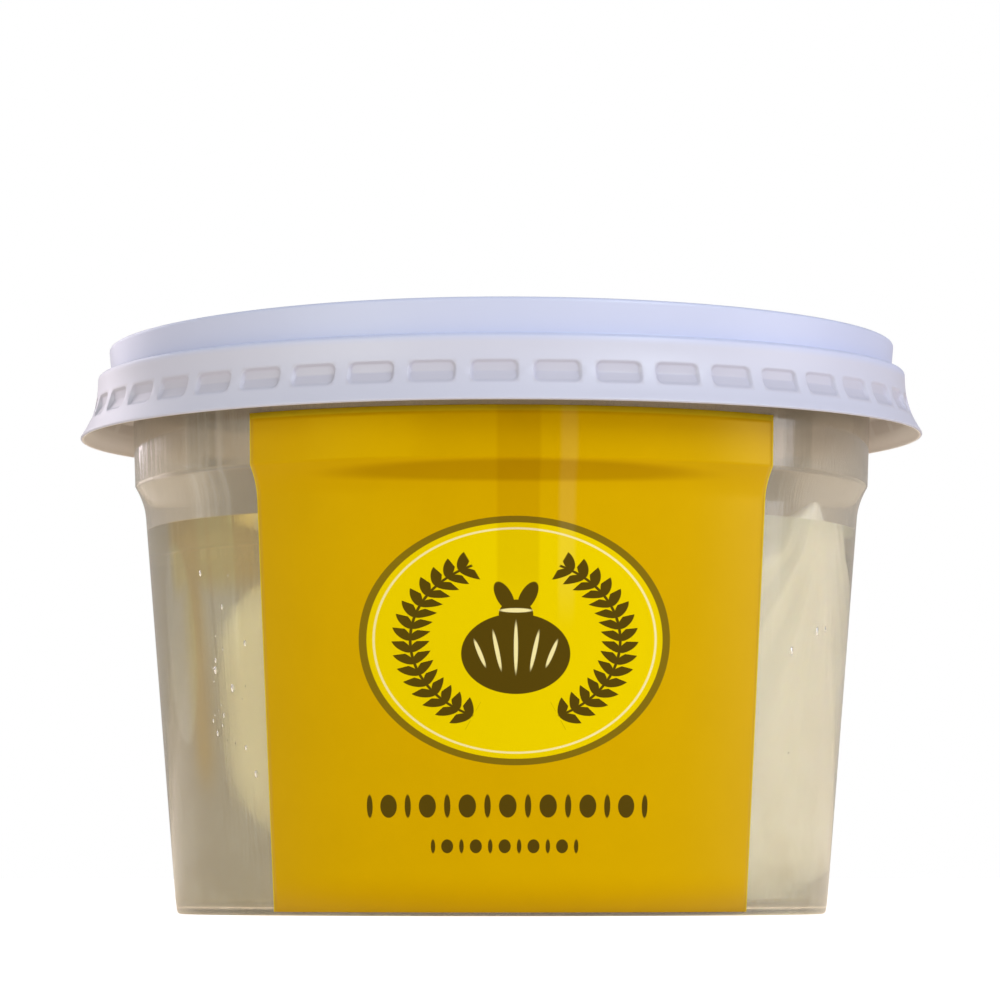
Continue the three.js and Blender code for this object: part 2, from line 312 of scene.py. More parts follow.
def oval_group():
    """A soft-edged oval: its depth is how far a point lies inside ((x/a)^2 + (y/b)^2)^(1/2) = 1 in
    mm, where x and y are turned about its centre, and its edge is 0.1 mm wide."""
    group, given, put = new_group(
        "soft oval",
        {"Place": (0, 0, 0), "Centre X": 0.0, "Centre Y": 0.0, "Half width": 5.0, "Half height": 5.0,
         "Turn": 0.0},
        ["Inside", "Depth mm"],
    )
    centre = out(node(group, "CombineXYZ", given["Centre X"], given["Centre Y"], 0.0))
    moved = out(node(group, "VectorMath", given["Place"], centre, operation="SUBTRACT"))
    turned_by = node(group, "VectorRotate", Vector=moved, Angle=given["Turn"], rotation_type="Z_AXIS")
    half = node(group, "CombineXYZ", given["Half width"], given["Half height"], 1.0)
    shares = node(group, "VectorMath", out(turned_by), out(half), operation="DIVIDE")
    reach = node(group, "VectorMath", out(shares), operation="LENGTH").outputs["Value"]
    least = math_of(group, "MINIMUM", given["Half width"], given["Half height"])
    depth = product_of(group, math_of(group, "SUBTRACT", 1.0, reach), least)
    put("Depth mm", depth)
    put("Inside", ramp_of(group, depth, -0.05, 0.05))
    return group


def oval_of(tree, place_of, x, y, half_width, half_height, turn=0.0, output="Inside"):
    """Places the oval group and returns its mask or its depth."""
    return use(
        tree, soft_oval, Place=place_of, Centre_X=x, Centre_Y=y, Half_width=half_width,
        Half_height=half_height, Turn=turn,
    ).outputs[output]


def within(tree, socket, low, high, soft=0.05):
    """1 where a value lies between two others, with a soft edge."""
    rise = ramp_of(tree, socket, low - soft, low + soft)
    return product_of(tree, rise, ramp_of(tree, socket, high - soft, high + soft, 1.0, 0.0))


def most_of(tree, masks):
    """The greatest of several masks."""
    total = masks[0]
    for mask in masks[1:]:
        total = math_of(tree, "MAXIMUM", total, mask)
    return total


def new_material(name):
    """An empty node material and its tree."""
    material = bpy.data.materials.new(name)
    material.use_nodes = True
    material.node_tree.nodes.clear()
    return material, material.node_tree


def let_lamps_pass(tree, surface, shade, volume=None):
    """Glass that lamps light things through: a ray from a surface to a lamp sees a plain tint."""
    passing = node(tree, "BsdfTransparent", Color=shade)
    shadow = node(tree, "LightPath").outputs["Is Shadow Ray"]
    mixed = node(tree, "MixShader", shadow, out(surface), out(passing))
    end = node(tree, "OutputMaterial", Surface=out(mixed))
    if volume:
        tree.links.new(out(volume), end.inputs["Volume"])


def clear_plastic():
    """Clear plastic, a little frosted, with drag lines that are rougher and stand proud a hair. It is
    paler near its foot, in a painted highlight, a long pale oval at the left, and in faint streaks
    beside it. It is tanned where deep whey lies behind it, and darker in two stripes on its band."""
    material, tree = new_material("clear tub plastic")
    place_of = node(tree, "UVMap", uv_map="UVMap").outputs["UV"]
    lines = out(use(tree, drag_lines, Place=place_of, Lines_per_mm=1.8, Length_mm=45.0, Share=0.42))
    patches = out(use(tree, mottle, Size_mm=14.0, Contrast=1.6))
    colour = blend_of(tree, patches, TUB_TINT_DULL, TUB_TINT)

    height = node(tree, "SeparateXYZ", node(tree, "TexCoord").outputs["Object"]).outputs["Z"]
    height = product_of(tree, height, 1 / MM)
    round_by = node(tree, "SeparateXYZ", place_of).outputs["X"]
    cloud = out(use(tree, mottle, Size_mm=7.0, Contrast=2.4))
    foot = product_of(tree, ramp_of(tree, height, *PALE_FOOT, 1.0, 0.0), cloud)
    spot = out(node(tree, "CombineXYZ", round_by, height, 0.0))
    # Painted highlight: a long pale oval on the left of the wall.
    patch = ramp_of(tree, oval_of(tree, spot, *PAINTED_HIGHLIGHT_PATCH, output="Depth mm"), 0.0, 0.5)
    streaks = out(use(tree, drag_lines, Place=place_of, Lines_per_mm=0.9, Length_mm=120.0, Share=0.5))
    beside = within(tree, round_by, *STREAKS_ROUND, 0.5)
    streaks = product_of(tree, streaks, beside, ramp_of(tree, height, *STREAKS_UP))
    # Paler near the foot, in the painted highlight and in the streaks.
    colour = blend_of(tree, most_of(tree, [foot, patch, streaks]), colour, TUB_PALE)

    beside_ball = within(tree, round_by, *TAN_BESIDE_BALL, 2.5)
    beside_ball = product_of(tree, beside_ball, ramp_of(tree, height, *TAN_BESIDE_BALL_UP))
    over_ball = within(tree, round_by, *TAN_OVER_BALL, 1.5)
    over_ball = product_of(tree, over_ball, ramp_of(tree, height, *TAN_OVER_BALL_UP))
    below_top = ramp_of(tree, height, *TAN_TOP, 1.0, 0.0)
    deep = product_of(tree, most_of(tree, [beside_ball, over_ball]), below_top)
    colour = blend_of(tree, deep, colour, TUB_TAN, "MULTIPLY")
    stripes = most_of(tree, [within(tree, round_by, *ends, 0.2) for ends in STRIPES_ROUND])
    stripes = product_of(tree, stripes, within(tree, height, *STRIPES_UP, 0.3))
    colour = blend_of(tree, stripes, colour, TUB_STRIPE, "MULTIPLY")

    rough = math_of(tree, "MULTIPLY_ADD", lines, 0.10, 0.07)
    relief = math_of(tree, "MULTIPLY_ADD", patches, 8.0, product_of(tree, lines, 0.3))
    bump = node(tree, "Bump", Strength=0.25, Distance=0.02 * MM, Height=relief)
    surface = node(
        tree, "BsdfPrincipled", Base_Color=colour, Roughness=rough, IOR=1.49,
        Transmission_Weight=0.88, Normal=out(bump),
    )
    let_lamps_pass(tree, surface, TUB_SHADE)
    return material


drag_lines = drag_lines_group()
mottle = mottle_group()
soft_oval = oval_group()
foot_inner = TUB_BASE_R - FOOT_WIDTH
band_r = float(tub_radius(BAND_TOP_Z))
floor_r = float(tub_radius(FLOOR_TOP_Z)) - TUB_WALL
tub_profile = np.concatenate([
    rounded([
        (0, FOOT_HEIGHT, 0), (foot_inner - 0.5, FOOT_HEIGHT, 0.3), (foot_inner, 0, 0.2),
        (TUB_BASE_R - 0.1, 0, 0.6), (float(tub_radius(2.0)), 2.0, 0),
    ]),
    wall_points(3.0, BAND_TOP_Z, 0),
    rounded([
        (band_r + 0.1, BAND_TOP_Z + 0.4, 0), (band_r + 0.3, RIM_TOP_Z - RIM_THICK, 0.4),
        (RIM_R, RIM_TOP_Z - RIM_THICK, 0.5), (RIM_R, RIM_TOP_Z, 0.5),
        (band_r - TUB_WALL, RIM_TOP_Z, 0.4), (band_r - TUB_WALL, BAND_TOP_Z + 0.4, 0),
    ]),
    wall_points(4.5, BAND_TOP_Z, -TUB_WALL)[::-1],
    rounded([(floor_r + 0.2, 4.0, 0), (floor_r, FLOOR_TOP_Z, 1.4), (0, FLOOR_TOP_Z, 0)]),
])
place("tub_shell", turned("tub_shell", tub_profile, TUB_SIDES), "tub_plastic", "tub", clear_plastic())

# ---------------------------------------------------------------------------- Water drops
# A few small drops of condensed water that cling to the outside of the cold tub, most of them at
# the left of the label.
DROPS_LEFT = 26
DROPS_RIGHT = 4
DROP_RING = 12
DROP_RISE = 0.28
DROP_TURNS_LEFT = (-56, -44)
DROP_TURNS_RIGHT = (52, 74)
DROP_LOW_Z = 12
DROP_MOST_Z = 30
DROP_HIGH_Z = 50
DROP_LEAST_R = 0.12
DROP_MORE_R = 0.36
DROP_LENGTH = 1.35
DROP_SUNK = 0.03
WATER_TINT = (0.97, 0.96, 0.93, 1)
WATER_SHADE = (0.98, 0.98, 0.97, 1)


def drop_mesh():
    """All drops in one mesh. Each is a cap of rings round an axis square to the wall, longer up
    the wall than across it, whose height falls with the root of 1 - r^2, and a flat back."""
    draw = np.random.default_rng(8)
    count = DROPS_LEFT + DROPS_RIGHT
    left = np.arange(count) < DROPS_LEFT
    turn_left, turn_right = draw.uniform(*DROP_TURNS_LEFT, count), draw.uniform(*DROP_TURNS_RIGHT, count)
    height_left = draw.triangular(DROP_LOW_Z, DROP_MOST_Z, DROP_HIGH_Z, count)
    height = np.where(left, height_left, draw.uniform(DROP_LOW_Z, DROP_HIGH_Z, count))
    size = DROP_LEAST_R + DROP_MORE_R * draw.random(count) ** 3
    turn = np.radians(np.where(left, turn_left, turn_right))
    ring = np.linspace(0, 2 * np.pi, DROP_RING + 1)
    share = np.array([0.0, 0.35, 0.6, 0.8, 0.93, 1.0, 0.0])
    rise = np.append(np.sqrt(1 - share[:-1] ** 2) * DROP_RISE, 0.0)
    across = size[:, None, None] * share[:, None] * np.cos(ring)
    up = size[:, None, None] * share[:, None] * np.sin(ring) * DROP_LENGTH
    proud = size[:, None, None] * rise[:, None] + 0 * ring - DROP_SUNK
    radius = tub_radius(height[:, None, None] + up) + proud
    angle = turn[:, None, None] + across / radius
    points = around(radius, angle, height[:, None, None] + up)
    rows, columns = points.shape[1:3]
    whole = bmesh.new()
    for one in points:
        mesh = mesh_of_grid("one drop", one[:, :-1], np.zeros((rows, columns, 2)))
        whole.from_mesh(mesh)
        bpy.data.meshes.remove(mesh)
    made = bpy.data.meshes.new("water_drops")
    whole.to_mesh(made)
    whole.free()
    return made


def water():
    """Clear water."""
    material, tree = new_material("condensed water")
    surface = node(
        tree, "BsdfPrincipled", Base_Color=WATER_TINT, Roughness=0.03, IOR=1.33,
        Transmission_Weight=0.95,
    )
    let_lamps_pass(tree, surface, WATER_SHADE)
    return material


place("water_drops", drop_mesh(), "whey", None, water())

# ---------------------------------------------------------------------------- Burrata
# One soft cheese: a ball of stretched curd full of cream, slumped a little on the tub's floor. The
# skin is gathered into a neck at the upper right, whose tip stands out of the whey, and pleats run
# out from it over the ball.
CHEESE_CENTRE = np.array([8.05, 0, 25.6])
CHEESE_HALF = np.array([36.8, 32.4, 25.6])
CHEESE_ROUND_BELOW = 2.1
CHEESE_ROUND_ABOVE = 4.0
CHEESE_LEAN = 0.0965
CHEESE_FLOOR_Z = 1.4
CHEESE_FLOOR_SOFT = 0.5
CHEESE_DULL = (0.89, 0.88, 0.83, 1)
CHEESE_PALE = (0.97, 0.97, 0.99, 1)
NECK_TIP = np.array([42.6, -19.6, 55.0])
NECK_ROOT_RISE = math.radians(8.0)
NECK_ROOT_TURN = math.radians(-22.0)
NECK_SPREAD = 44
NECK_HOLLOW = 1.6
NECK_BLUNT = 3.4
PLEATS = 8
PLEAT_DEPTH = 1.3
PLEAT_PEAK = 20
PLEAT_REACH = 52
PLEAT_UNEVEN = 0.7
LUMPS = 40
LUMP_HEIGHT = 0.14
WRINKLES = 31
WRINKLE_DEPTH = 0.12


def ball_reach(way):
    """Distance from the centre to the skin along unit vectors: (across^p + up^p)^(-1/p), where p
    is greater above the middle than below it, so the top is fuller than the bottom."""
    above = 0.5 + 0.5 * np.tanh(3 * way[..., 2])
    power = CHEESE_ROUND_BELOW + (CHEESE_ROUND_ABOVE - CHEESE_ROUND_BELOW) * above
    across = np.hypot(way[..., 0] / CHEESE_HALF[0], way[..., 1] / CHEESE_HALF[1])
    up = np.abs(way[..., 2]) / CHEESE_HALF[2]
    return (across**power + up**power) ** (-1 / power)


def settled(point):
    """Points leant over towards -X with height, and pressed flat on the floor by a soft maximum."""
    x = point[..., 0] - CHEESE_LEAN * (point[..., 2] - CHEESE_CENTRE[2])
    above = (point[..., 2] - CHEESE_FLOOR_Z) / CHEESE_FLOOR_SOFT
    z = CHEESE_FLOOR_Z + CHEESE_FLOOR_SOFT * np.logaddexp(0, above)
    return np.stack([x, point[..., 1], z], axis=-1)


def lumps(point, count, seed):
    """Soft unevenness between -1 and 1 or so: the mean of plane waves in random directions, 9 to
    28 mm long, times the root of how many there are."""
    draw = np.random.default_rng(seed)
    total = np.zeros(point.shape[:-1])
    for _ in range(count):
        way = draw.normal(size=3)
        way *= 2 * np.pi / (draw.uniform(9, 28) * np.linalg.norm(way))
        total += np.sin(point @ way + draw.uniform(0, 2 * np.pi))
    return total / math.sqrt(count)


def cheese_points(columns, rows, fine, shrink=0.0):
    """The skin as a grid from the neck's tip (row 0) to the far side of the ball. A direction at
    angle A from the neck's root and turn T about it reaches out to the ball, less the pleats'
    depth, and the skin within the neck's spread is drawn towards its tip."""
    root = np.array([
        math.cos(NECK_ROOT_RISE) * math.cos(NECK_ROOT_TURN),
        math.cos(NECK_ROOT_RISE) * math.sin(NECK_ROOT_TURN),
        math.sin(NECK_ROOT_RISE),
    ])
    sideways = np.array([-root[1], root[0], 0]) / math.hypot(root[0], root[1])
    upwards = np.cross(root, sideways)
    turn = (-2 * np.pi * np.arange(columns) / columns)[None, :, None]
    angle = (np.pi * np.linspace(0, 1, rows) ** 1.5)[:, None, None]
    way = root * np.cos(angle) + np.sin(angle) * (sideways * np.cos(turn) + upwards * np.sin(turn))
    degrees = np.degrees(angle[..., 0])
    turn = turn[..., 0]
    grow = smooth_step(degrees, 3, PLEAT_PEAK) * (1 - smooth_step(degrees, PLEAT_PEAK, PLEAT_REACH))
    wave = 0.5 - 0.5 * np.cos(PLEATS * turn + PLEAT_UNEVEN * np.sin(2 * turn))
    inset = PLEAT_DEPTH * grow * wave + shrink
    if fine:
        drift = 1.3 * np.sin(3 * turn + degrees / 17) + 0.8 * np.sin(5 * turn - degrees / 9)
        crease = np.abs(np.sin(WRINKLES / 2 * turn + drift)) ** 0.6
        near = smooth_step(degrees, 5, 14) * (1 - smooth_step(degrees, 22, 70))
        inset = inset + WRINKLE_DEPTH * near * (1 - crease)
    point = way * (ball_reach(way) - inset)[..., None] + CHEESE_CENTRE
    if fine:
        point = point + way * (LUMP_HEIGHT * lumps(point, LUMPS, 5) * smooth_step(degrees, 4, 12))[..., None]
    root_point = settled(root * ball_reach(root) + CHEESE_CENTRE)
    from_tip = np.hypot(degrees, NECK_BLUNT) / NECK_SPREAD
    pull = (np.maximum(1 - from_tip, 0) / (1 - NECK_BLUNT / NECK_SPREAD)) ** NECK_HOLLOW
    return settled(point) + (NECK_TIP - root_point) * pull[..., None]


def mottled(tree, size, contrast, first, second):
    """Two colours mixed by soft cloudy patches of a size in mm."""
    return blend_of(tree, out(use(tree, mottle, Size_mm=size, Contrast=contrast)), first, second)


def fresh_cheese():
    """Wet creamy skin: light goes a little way into it, with faint patches and a fine tooth."""
    material, tree = new_material("fresh cheese skin")
    colour = mottled(tree, 9.0, 2.2, CHEESE_DULL, CHEESE_PALE)
    tooth = out(use(tree, mottle, Size_mm=1.2, Contrast=1.0))
    rough = ramp_of(tree, tooth, 0.2, 0.8, 0.28, 0.46)
    bump = node(tree, "Bump", Strength=0.35, Distance=0.15 * MM, Height=tooth)
    surface = node(
        tree, "BsdfPrincipled", Base_Color=colour, Roughness=rough, IOR=1.4,
        Subsurface_Weight=0.3, Subsurface_Radius=(1.0, 0.8, 0.5), Subsurface_Scale=3 * MM,
        Normal=out(bump),
    )
    node(tree, "OutputMaterial", Surface=out(surface))
    return material


CHEESE_COLUMNS = 360
CHEESE_ROWS = 240
skin = cheese_points(CHEESE_COLUMNS, CHEESE_ROWS, fine=True)
skin_uv = np.zeros((CHEESE_ROWS, CHEESE_COLUMNS + 1, 2))
skin_uv[..., 0] = np.linspace(0, 1, CHEESE_COLUMNS + 1)
skin_uv[..., 1] = np.linspace(0, 1, CHEESE_ROWS)[:, None]
place(
    "burrata_skin", mesh_of_grid("burrata_skin", skin, skin_uv), "cheese", "burrata", fresh_cheese()
)

# ---------------------------------------------------------------------------- Whey
# Thin cloudy whey that the cheese lies in. It wets the wall, so it reaches just into the plastic
# with no air between. It is hollow where the cheese is, less a little, so that no lump of the
# skin leaves a gap, and the neck stands out of its top.
WHEY_TOP_Z = 53.0
WHEY_BITE = 0.05
WHEY_SIDES = 240
CHEESE_BITE = 0.6
HOLLOW_COLUMNS = 96
HOLLOW_ROWS = 72
WHEY_DULL = (0.93, 0.90, 0.82, 1)
WHEY_CLEAR = (0.98, 0.96, 0.90, 1)
WHEY_SHADE = (0.95, 0.93, 0.86, 1)
WHEY_STAIN = (0.88, 0.865, 0.10, 1)
WHEY_STRENGTH = 13.5


def cloudy_whey():
    """Clear pale liquid that takes more of the blue the further light goes through it."""
    material, tree = new_material("cloudy whey")
    colour = mottled(tree, 18.0, 1.2, WHEY_DULL, WHEY_CLEAR)
    surface = node(
        tree, "BsdfPrincipled", Base_Color=colour, Roughness=0.03, IOR=1.34, Transmission_Weight=0.93
    )
    stain = node(tree, "VolumeAbsorption", Color=WHEY_STAIN, Density=WHEY_STRENGTH)
    let_lamps_pass(tree, surface, WHEY_SHADE, stain)
    return material


inside = -TUB_WALL + WHEY_BITE
whey_wall = np.linspace(4.0, WHEY_TOP_Z, 12)
whey_foot_z = FLOOR_TOP_Z - WHEY_BITE
whey_foot_r = floor_r + WHEY_BITE
whey_profile = np.concatenate([
    rounded([(0, whey_foot_z, 0), (whey_foot_r, whey_foot_z, 1.4), (whey_foot_r + 0.2, 4.0, 0)])[:-1],
    np.column_stack([tub_radius(whey_wall) + inside, whey_wall]),
    [(0, WHEY_TOP_Z)],
])
whey = place("whey_fill", turned("whey_fill", whey_profile, WHEY_SIDES), "whey", "whey", cloudy_whey())
hollow_points = cheese_points(HOLLOW_COLUMNS, HOLLOW_ROWS, fine=False, shrink=CHEESE_BITE)
hollow_uv = np.zeros((HOLLOW_ROWS, HOLLOW_COLUMNS + 1, 2))
hollow = bpy.data.objects.new("hollow", mesh_of_grid("hollow", hollow_points, hollow_uv))
scene.collection.objects.link(hollow)
cut = whey.modifiers.new("hollow", "BOOLEAN")
cut.operation = "DIFFERENCE"
cut.solver = "EXACT"
cut.object = hollow
with bpy.context.temp_override(object=whey, active_object=whey):
    bpy.ops.object.modifier_apply(modifier=cut.name)
bpy.data.objects.remove(hollow)

# ---------------------------------------------------------------------------- Lid
# White plastic, moulded in one piece: a recessed middle, a raised ring over the tub's rim, and a
# skirt that flares to a thin lip. A row of slots with rounded corners is pressed into the skirt.
# The lid has warped a little in use, so the ring's front stands up and its sides hang.
LID_WALL = 0.9
LIP_R = 58.75
LIP_Z = 66.1
SKIRT_R = 56.3
SKIRT_TOP_Z = 74.1
SKIRT_FLARE = 2.3
RING_FOOT_R = 54.4
RING_TOP_R = 54.75
RING_INNER_R = 48.7
LID_TOP_Z = 79.2
LID_PANEL_Z = 75.0
LID_PANEL_R = 47.8
BEAD_R = 54.3
BEAD_Z = 71.1
DIMPLES = 44
DIMPLE_WIDTH = 6.3
DIMPLE_HEIGHT = 3.0
DIMPLE_CORNER = 1.0
DIMPLE_DEPTH = 0.22
DIMPLE_EDGE = 0.3
GROOVE_DEPTH = 0.38
DIMPLE_TURN = math.radians(-0.9)
DIMPLE_Z = 69.85
LID_WARP = 0.5
LID_TILT = 0.35
# Painted light: the outside's bluish ring and skirt colours stand for cool light from above and in front,
# bluer on the ring.
LID_RING_COOL_LIGHT = (0.485, 0.515, 0.725, 1)
LID_SKIRT_COOL_LIGHT = (0.505, 0.51, 0.655, 1)
# Painted light: the lid's inside is paler and warmer than its outside.
LID_UNDER_PAINTED_LIGHT = (0.86, 0.80, 0.80, 1)
LID_CLOUD = (1.06, 1.06, 1.05, 1)
# Painted shade in the pressed slots.
LID_SLOT_SHADE = (0.91, 0.89, 0.88, 1)


def skirt_radius(z):
    """Outer radius of the skirt at a height: it flares by a power of the way down to the lip."""
    down = np.maximum(SKIRT_TOP_Z - z, 0) / (SKIRT_TOP_Z - LIP_Z)
    return SKIRT_R + (LIP_R - SKIRT_R) * down**SKIRT_FLARE


def dimple_depth(angles, height):
    """Depth of the slots at angles and heights: none outside a box with rounded corners, full
    where a point lies further inside it than its edge is wide, and deepest at mid height."""
    pitch = 2 * np.pi / DIMPLES
    across = (np.mod(angles - DIMPLE_TURN + pitch / 2, pitch) - pitch / 2) * skirt_radius(DIMPLE_Z)
    past_x = np.abs(across) - (DIMPLE_WIDTH / 2 - DIMPLE_CORNER)
    past_z = np.abs(height - DIMPLE_Z) - (DIMPLE_HEIGHT / 2 - DIMPLE_CORNER)
    beyond = np.hypot(np.maximum(past_x, 0), np.maximum(past_z, 0))
    inside_by = DIMPLE_CORNER - beyond - np.minimum(np.maximum(past_x, past_z), 0)
    groove = np.maximum(1 - np.abs(height - DIMPLE_Z) / (DIMPLE_HEIGHT / 2), 0)
    return smooth_step(inside_by, 0, DIMPLE_EDGE) * (DIMPLE_DEPTH + GROOVE_DEPTH * groove)


def lid_angles():
    """Angles round the lid, close together at the slots' ends and further apart elsewhere."""
    pitch = 2 * np.pi / DIMPLES
    half = np.concatenate([np.linspace(0, 2.1, 3), np.linspace(2.3, 3.25, 7)]) / skirt_radius(DIMPLE_Z)
    one = np.concatenate([-half[:0:-1], half, [pitch / 2]])
    starts = np.arange(DIMPLES)[:, None] * pitch + DIMPLE_TURN - np.pi
    angles = (starts + one).ravel()
    return np.append(angles, angles[0] + 2 * np.pi)


def lid_mesh():
    """The lid's profile carried round, from the middle of its underside round the lip and up the
    outside to the middle of its top, with the slots pressed in and the warp added. The faces on
    its inside take the second material, a paler and warmer copy that paints light under the lip."""
    ceiling = LID_TOP_Z - LID_WALL
    over_rim = SKIRT_TOP_Z - 0.1
    inner = np.array([BEAD_Z - 1, DIMPLE_Z, 68.1, LIP_Z + 0.9])
    skirt = np.concatenate([
        np.linspace(LIP_Z + 0.35, DIMPLE_Z - 1.75, 7)[:-1],
        np.linspace(DIMPLE_Z - 1.75, DIMPLE_Z + 1.75, 23),
        np.linspace(DIMPLE_Z + 1.75, SKIRT_TOP_Z - 0.5, 7)[1:],
    ])
    profile = np.concatenate([
        rounded([
            (0, LID_PANEL_Z - LID_WALL, 0), (LID_PANEL_R + LID_WALL, LID_PANEL_Z - LID_WALL, 0.4),
            (RING_INNER_R + LID_WALL, ceiling, 0.4), (RING_TOP_R - LID_WALL, ceiling, 0.4),
            (RING_FOOT_R - LID_WALL, over_rim, 0.3), (SKIRT_R - LID_WALL, over_rim, 0.3),
            (SKIRT_R - LID_WALL, BEAD_Z + 0.8, 0.4), (BEAD_R, BEAD_Z, 0.5),
            (skirt_radius(inner[0]) - LID_WALL, inner[0], 0.3),
        ], steps=4),
        np.column_stack([skirt_radius(inner[1:]) - LID_WALL, inner[1:]]),
        rounded([
            (LIP_R - 0.95, LIP_Z + 0.5, 0), (LIP_R - 0.55, LIP_Z - 0.2, 0.3),
            (LIP_R - 0.02, LIP_Z - 0.05, 0.3), (skirt_radius(LIP_Z + 0.3), LIP_Z + 0.3, 0),
        ], steps=4)[:-1],
        np.column_stack([skirt_radius(skirt), skirt]),
        rounded([
            (SKIRT_R, SKIRT_TOP_Z - 0.3, 0), (SKIRT_R - 0.05, LID_PANEL_Z - 0.25, 0.8),
            (RING_FOOT_R, LID_PANEL_Z - 0.1, 0.25), (RING_TOP_R, LID_TOP_Z, 0.6),
            (RING_INNER_R, LID_TOP_Z, 0.7), (LID_PANEL_R, LID_PANEL_Z, 0.6),
            (0, LID_PANEL_Z, 0),
        ]),
    ])
    angles = lid_angles()
    radius, height = profile[:, :1], profile[:, 1:]
    outside = np.abs(radius - skirt_radius(height)) < 0.01
    pressed = radius - np.where(outside, dimple_depth(angles, height), 0)
    warp = LID_WARP * np.cos(2 * angles) * smooth_step(height, SKIRT_TOP_Z, LID_TOP_Z)
    tilt = LID_TILT * np.sin(angles) * np.abs(np.sin(angles))
    outer = smooth_step(radius, LID_PANEL_R, RING_TOP_R)
    points = around(pressed, angles, height + (warp + tilt) * outer)
    along = np.concatenate([[0], np.cumsum(np.hypot(*np.diff(profile, axis=0).T))])
    uv = np.stack(np.broadcast_arrays(angles * LIP_R, along[:, None]), axis=-1)
    mesh = mesh_of_grid("lid_shell", points[:, :-1], uv)
    centres = np.zeros((len(mesh.polygons), 3))
    normals = np.zeros((len(mesh.polygons), 3))
    mesh.polygons.foreach_get("center", centres.ravel())
    mesh.polygons.foreach_get("normal", normals.ravel())
    outwards = (normals[:, :2] * centres[:, :2]).sum(axis=1) / np.hypot(*centres[:, :2].T)
    under = (outwards < 0.2) & (normals[:, 2] < 0.5) & (centres[:, 2] < (LID_PANEL_Z - 0.5) * MM)
    mesh.polygons.foreach_set("material_index", under.astype(np.int32))
    return mesh


def white_plastic(name, ring, skirt):
    """White plastic with a satin skin: one colour over the raised ring and another over the skirt,
    darker in the slots, with faint clouds. Light is painted into the colours: on the outside a cool
    tone, bluer on the ring, for cool light from above and in front, and on the inside a paler,
    warmer one under the lip. The darker slots are painted shade."""
    material, tree = new_material(name)
    patches = out(use(tree, mottle, Size_mm=22.0, Contrast=1.2))
    fine = out(use(tree, mottle, Size_mm=0.6, Contrast=1.0))
    place_of = node(tree, "SeparateXYZ", node(tree, "TexCoord").outputs["Object"]).outputs
    height = product_of(tree, place_of["Z"], 1 / MM)
    raised = ramp_of(tree, height, SKIRT_TOP_Z - 0.6, SKIRT_TOP_Z + 0.6)
    angle = math_of(tree, "ARCTAN2", place_of["X"], product_of(tree, place_of["Y"], -1.0))
    pitch = 2 * math.pi / DIMPLES
    folded = math_of(tree, "FLOORED_MODULO", math_of(tree, "ADD", angle, pitch / 2 - DIMPLE_TURN), pitch)
    turn = math_of(tree, "SUBTRACT", folded, pitch / 2)
    across = product_of(tree, turn, float(skirt_radius(DIMPLE_Z)))
    slot = product_of(
        tree, within(tree, across, -DIMPLE_WIDTH / 2, DIMPLE_WIDTH / 2, 0.3),
        within(tree, height, DIMPLE_Z - DIMPLE_HEIGHT / 2, DIMPLE_Z + DIMPLE_HEIGHT / 2, 0.3),
    )
    # The ring and skirt colours carry painted light.
    colour = blend_of(tree, raised, skirt, ring)
    colour = blend_of(tree, patches, colour, LID_CLOUD, "MULTIPLY")
    # Painted shade: the slots are darkened.
    colour = blend_of(tree, slot, colour, LID_SLOT_SHADE, "MULTIPLY")
    rough = ramp_of(tree, patches, 0.2, 0.8, 0.34, 0.44)
    bump = node(tree, "Bump", Strength=0.12, Distance=0.03 * MM, Height=fine)
    surface = node(
        tree, "BsdfPrincipled", Base_Color=colour, Roughness=rough, IOR=1.49, Normal=out(bump)
    )
    node(tree, "OutputMaterial", Surface=out(surface))
    return material


lid_outside = white_plastic("white lid plastic", LID_RING_COOL_LIGHT, LID_SKIRT_COOL_LIGHT)
# The inside takes a paler, warmer copy of the plastic: painted light under the lip.
lid_underside_painted_light = white_plastic("lid underside painted light", LID_UNDER_PAINTED_LIGHT, LID_UNDER_PAINTED_LIGHT)
place("lid_shell", lid_mesh(), "lid_plastic", "lid", lid_outside, lid_underside_painted_light)

# ---------------------------------------------------------------------------- Labels
# Two pieces of printed film, wrapped round the wall and stuck to it from just over the foot to
# under the lip. Both are golden yellow outside and show their dull underside through the tub.
LABEL_THICK = 0.2
LABEL_SUNK = 0.02
LABEL_LOW_Z = 0.5
LABEL_TOP_Z = 66.0
FRONT_LABEL = (-40.3, 44.5)
BACK_LABEL = (121.2, 238.8)
LABEL_FAN = 1.4
LABEL_STEP = 1.0
PRINT_R = 48.0
YELLOW = (0.555, 0.325, 0.0, 1)
BRIGHT_YELLOW = (0.69, 0.52, 0.0, 1)
BROWN = (0.055, 0.032, 0.004, 1)
OLIVE = (0.17, 0.11, 0.006, 1)
CREAM = (0.76, 0.68, 0.36, 1)
GLOSS_TINT = (1.0, 0.75, 0.0, 1)
UNDERSIDE_DARK = (0.62, 0.41, 0.12, 1)
UNDERSIDE_TAN = (0.70, 0.47, 0.15, 1)
OVAL_X = 0.1
OVAL_Y = 35.6
OVAL_HALF_WIDTH = 20.6
OVAL_HALF_HEIGHT = 16.1
# Painted light and shade: the strip under the lid's lip, along the film's top edge.
PAINTED_LIP_SHADE_STRIP = (0.60, 0.44, 0.01, 1)
BANDS_UP = (36.0, 46.0)
# Painted reflections: a dark upright band and a faint pale one, in mm round the film.
DARK_REFLECTION_BAND = (-2.3, 3.0)
DARK_REFLECTION_BAND_TINT = (0.90, 0.86, 1.0, 1)
PALE_REFLECTION_BAND = (5.5, 7.5)
